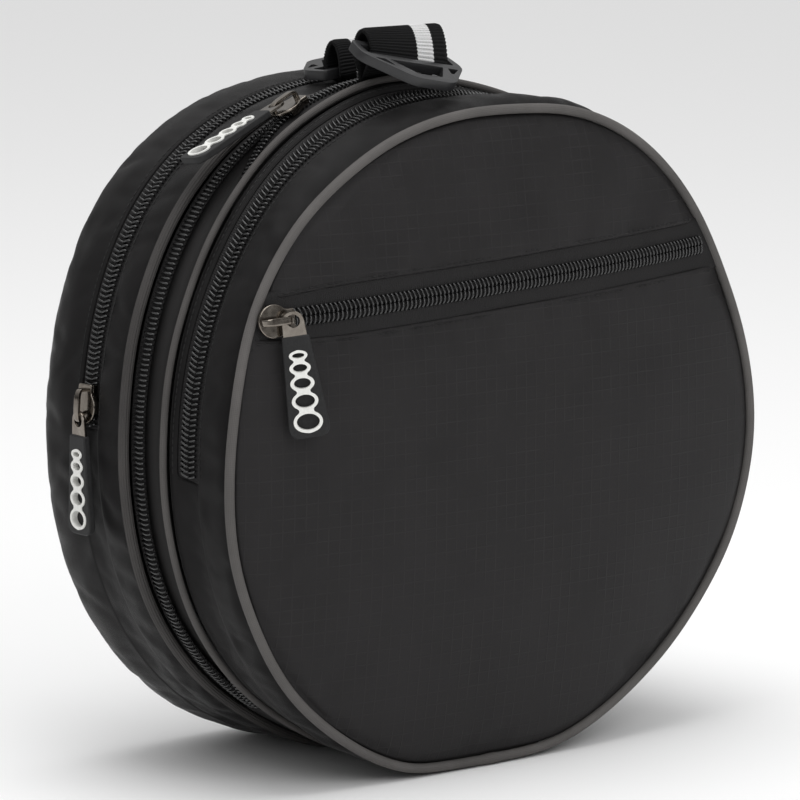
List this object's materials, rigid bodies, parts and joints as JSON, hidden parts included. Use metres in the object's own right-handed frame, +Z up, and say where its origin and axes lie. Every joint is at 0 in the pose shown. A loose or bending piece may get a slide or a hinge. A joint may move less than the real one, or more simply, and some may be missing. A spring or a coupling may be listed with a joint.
{
  "type": "round gym bag",
  "caption": "Round drum-shaped bag standing on its rolled edge, with zipped compartments one behind the other, a slanted front pocket zip, grey piping and strap rings on top.",
  "frame": {"origin": "on the floor under the middle of the bag, on the flattened base cloth", "axes": "+Z up, the front panel faces -Y, +X to the right as the front is seen"},
  "size_m": [0.3277, 0.1653, 0.3286],
  "materials": {
    "panel_cloth": "black ripstop nylon, matt with a faint grid",
    "side_cloth": "black nylon, matt with a soft sheen",
    "piping": "grey woven piping tape",
    "zip": "black zip tape with a black nylon coil",
    "nickel": "polished nickel plate",
    "rubber": "satin black rubber",
    "white_print": "white raised rubber",
    "webbing": "black ribbed webbing",
    "moulded_plastic": "satin black moulded plastic"
  },
  "bodies": {
    "root": {"back_panel": "panel_cloth", "body_piping": "piping", "front_gusset": "side_cloth", "front_panel_lower": "panel_cloth", "front_panel_upper": "panel_cloth", "front_piping": "piping", "front_pull": "rubber", "front_zip": "zip", "loop_back": "webbing", "loop_front": "webbing", "middle_base": "side_cloth", "middle_pull_link": "nickel", "middle_pull_rings": "white_print", "middle_pull_tag": "rubber", "middle_slider": "nickel", "middle_zip_front": "zip", "middle_zip_rear": "zip", "pocket_piping": "piping", "pocket_pull_link": "nickel", "pocket_pull_rings": "white_print", "pocket_pull_tag": "rubber", "pocket_slider": "nickel", "pocket_zip": "zip", "rear_gusset": "side_cloth", "rear_pull_link": "nickel", "rear_pull_rings": "white_print", "rear_pull_tag": "rubber", "rear_slider": "nickel", "rear_zip": "zip", "ring_back": "moulded_plastic", "ring_front": "moulded_plastic"}
  },
  "joints": []
}
